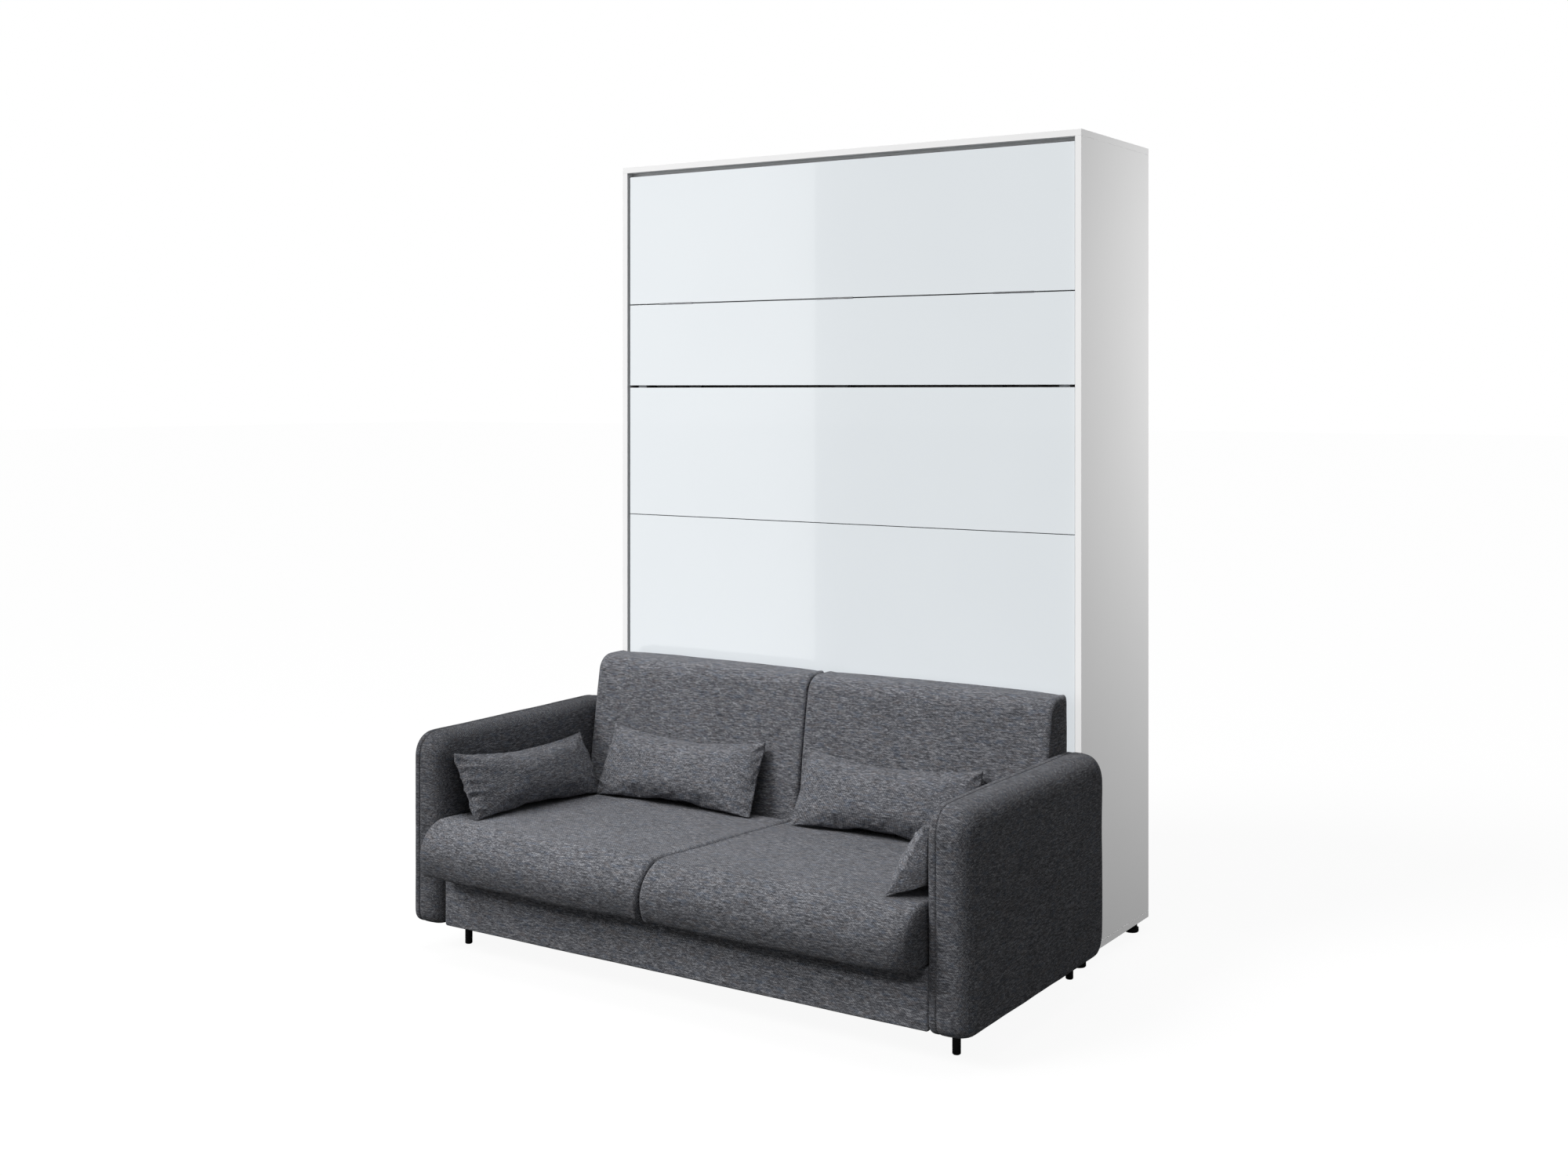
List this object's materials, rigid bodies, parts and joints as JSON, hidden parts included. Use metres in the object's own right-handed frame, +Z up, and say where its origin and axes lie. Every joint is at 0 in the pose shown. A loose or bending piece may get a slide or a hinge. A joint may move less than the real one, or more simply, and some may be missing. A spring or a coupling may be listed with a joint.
{
  "type": "wall bed with sofa",
  "caption": "Vertical fold-down double wall bed in a white cabinet, with a grey fabric sofa standing in front of it.",
  "frame": {"origin": "on the floor, in the middle of the whole footprint", "axes": "+Z up, the wall on the +Y side, the sofa's front facing -Y, +X to the right of somebody facing the cabinet"},
  "size_m": [1.684, 1.374, 2.2],
  "materials": {
    "carcass_white": "matt laminate",
    "front_gloss": "high gloss lacquer",
    "upholstery": "woven melange",
    "timber": "raw board",
    "bed_board": "matt laminate",
    "slat_wood": "varnished beech",
    "mattress_cover": "knitted cover",
    "webbing": "woven strap",
    "frame_steel": "powder coat",
    "bright_steel": "zinc plated",
    "black_steel": "gloss black",
    "black_plastic": "moulded",
    "rubber": "matt"
  },
  "bodies": {
    "cabinet": {"side_panel_left": "carcass_white", "side_panel_right": "carcass_white", "top_panel": "carcass_white", "bottom_panel": "carcass_white", "back_panel": "carcass_white", "back_rail_upper": "carcass_white", "back_rail_lower": "carcass_white", "stop_rail": "carcass_white", "stop_buffers": "rubber", "cabinet_feet": "black_plastic", "cabinet_screws": "bright_steel", "pivot_plates": "bright_steel", "pivot_pins": "bright_steel", "strut_brackets": "bright_steel", "arm_core_left": "timber", "arm_core_right": "timber", "arm_pad_left": "upholstery", "arm_pad_right": "upholstery", "front_fascia": "upholstery", "base_long_rails": "timber", "base_rear_rail": "timber", "seat_deck": "timber", "sofa_legs": "black_plastic", "sofa_leg_glides": "black_plastic", "link_plates": "bright_steel"},
    "bed": {"bed_rail_left": "frame_steel", "bed_rail_right": "frame_steel", "end_tubes": "frame_steel", "cross_tubes": "frame_steel", "centre_beam": "frame_steel", "head_board": "bed_board", "foot_board": "bed_board", "slats": "slat_wood", "slat_holders": "black_plastic", "mattress": "mattress_cover", "mattress_straps": "webbing", "front_panel_top": "front_gloss", "front_panel_middle": "front_gloss", "front_panel_lower": "front_gloss", "panel_screws": "bright_steel", "pivot_arms": "frame_steel", "pivot_bushes": "black_plastic", "hinge_leaves_fixed": "bright_steel", "hinge_pins": "bright_steel", "flap_magnets": "black_plastic"},
    "leg_flap": {"leg_panel": "front_gloss", "hinge_leaves_moving": "bright_steel", "flap_glides": "rubber"},
    "strut_tube_left": {"strut_tube_left": "black_steel"},
    "strut_tube_right": {"strut_tube_right": "black_steel"},
    "strut_rod_left": {"strut_rod_left": "bright_steel"},
    "strut_rod_right": {"strut_rod_right": "bright_steel"},
    "seat_cushion_left": {"seat_cushion_left": "upholstery"},
    "seat_cushion_right": {"seat_cushion_right": "upholstery"},
    "back_cushion_left": {"back_cushion_left": "upholstery"},
    "back_cushion_right": {"back_cushion_right": "upholstery"},
    "pillow_left_arm": {"pillow_left_arm": "upholstery"},
    "pillow_left_back": {"pillow_left_back": "upholstery"},
    "pillow_right_back": {"pillow_right_back": "upholstery"},
    "pillow_right_arm": {"pillow_right_arm": "upholstery"}
  },
  "joints": [
    {"name": "bed_fold", "type": "hinge", "parent": "cabinet", "child": "bed", "pos_m": [0, 0.297, 0.318], "axis": [1, 0, 0], "range_deg": [0, 90], "stiffness_Nm_per_rad": 300},
    {"name": "leg_flap_fold", "type": "hinge", "parent": "bed", "child": "leg_flap", "pos_m": [0, 0.229, 1.779], "axis": [-1, 0, 0], "range_deg": [0, 90]},
    {"name": "strut_swing_left", "type": "hinge", "parent": "cabinet", "child": "strut_tube_left", "pos_m": [-0.7275, 0.597, 0.648], "axis": [1, 0, 0], "range_deg": [-3, 0]},
    {"name": "strut_stroke_left", "type": "slide", "parent": "strut_tube_left", "child": "strut_rod_left", "axis": [0, 0.5408, 0.8412], "range_m": [0, 0.134]},
    {"name": "strut_swing_right", "type": "hinge", "parent": "cabinet", "child": "strut_tube_right", "pos_m": [0.7275, 0.597, 0.648], "axis": [1, 0, 0], "range_deg": [-3, 0]},
    {"name": "strut_stroke_right", "type": "slide", "parent": "strut_tube_right", "child": "strut_rod_right", "axis": [0, 0.5408, 0.8412], "range_m": [0, 0.134]},
    {"name": "seat_cushion_left_off", "type": "slide", "parent": "cabinet", "child": "seat_cushion_left", "axis": [0, -1, 0], "range_m": [0, 2.122]},
    {"name": "seat_cushion_right_off", "type": "slide", "parent": "cabinet", "child": "seat_cushion_right", "axis": [0, -1, 0], "range_m": [0, 2.122]},
    {"name": "back_cushion_left_off", "type": "slide", "parent": "cabinet", "child": "back_cushion_left", "axis": [0, -1, 0], "range_m": [0, 2.122]},
    {"name": "back_cushion_right_off", "type": "slide", "parent": "cabinet", "child": "back_cushion_right", "axis": [0, -1, 0], "range_m": [0, 2.122]},
    {"name": "pillow_left_arm_off", "type": "slide", "parent": "cabinet", "child": "pillow_left_arm", "axis": [0, -1, 0], "range_m": [0, 2.122]},
    {"name": "pillow_left_back_off", "type": "slide", "parent": "cabinet", "child": "pillow_left_back", "axis": [0, -1, 0], "range_m": [0, 2.122]},
    {"name": "pillow_right_back_off", "type": "slide", "parent": "cabinet", "child": "pillow_right_back", "axis": [0, -1, 0], "range_m": [0, 2.122]},
    {"name": "pillow_right_arm_off", "type": "slide", "parent": "cabinet", "child": "pillow_right_arm", "axis": [0, -1, 0], "range_m": [0, 2.122]}
  ],
  "couplings": [
    {"joint": "strut_swing_left", "follows": "bed_fold", "ratio": -0.02508},
    {"joint": "strut_stroke_left", "follows": "bed_fold", "m_per_rad": 0.08474},
    {"joint": "strut_swing_right", "follows": "bed_fold", "ratio": -0.02508},
    {"joint": "strut_stroke_right", "follows": "bed_fold", "m_per_rad": 0.08474},
    {"joint": "seat_cushion_left_off", "follows": "bed_fold", "m_per_rad": 1.3496},
    {"joint": "seat_cushion_right_off", "follows": "bed_fold", "m_per_rad": 1.3496},
    {"joint": "back_cushion_left_off", "follows": "bed_fold", "m_per_rad": 1.3496},
    {"joint": "back_cushion_right_off", "follows": "bed_fold", "m_per_rad": 1.3496},
    {"joint": "pillow_left_arm_off", "follows": "bed_fold", "m_per_rad": 1.3496},
    {"joint": "pillow_left_back_off", "follows": "bed_fold", "m_per_rad": 1.3496},
    {"joint": "pillow_right_back_off", "follows": "bed_fold", "m_per_rad": 1.3496},
    {"joint": "pillow_right_arm_off", "follows": "bed_fold", "m_per_rad": 1.3496}
  ]
}
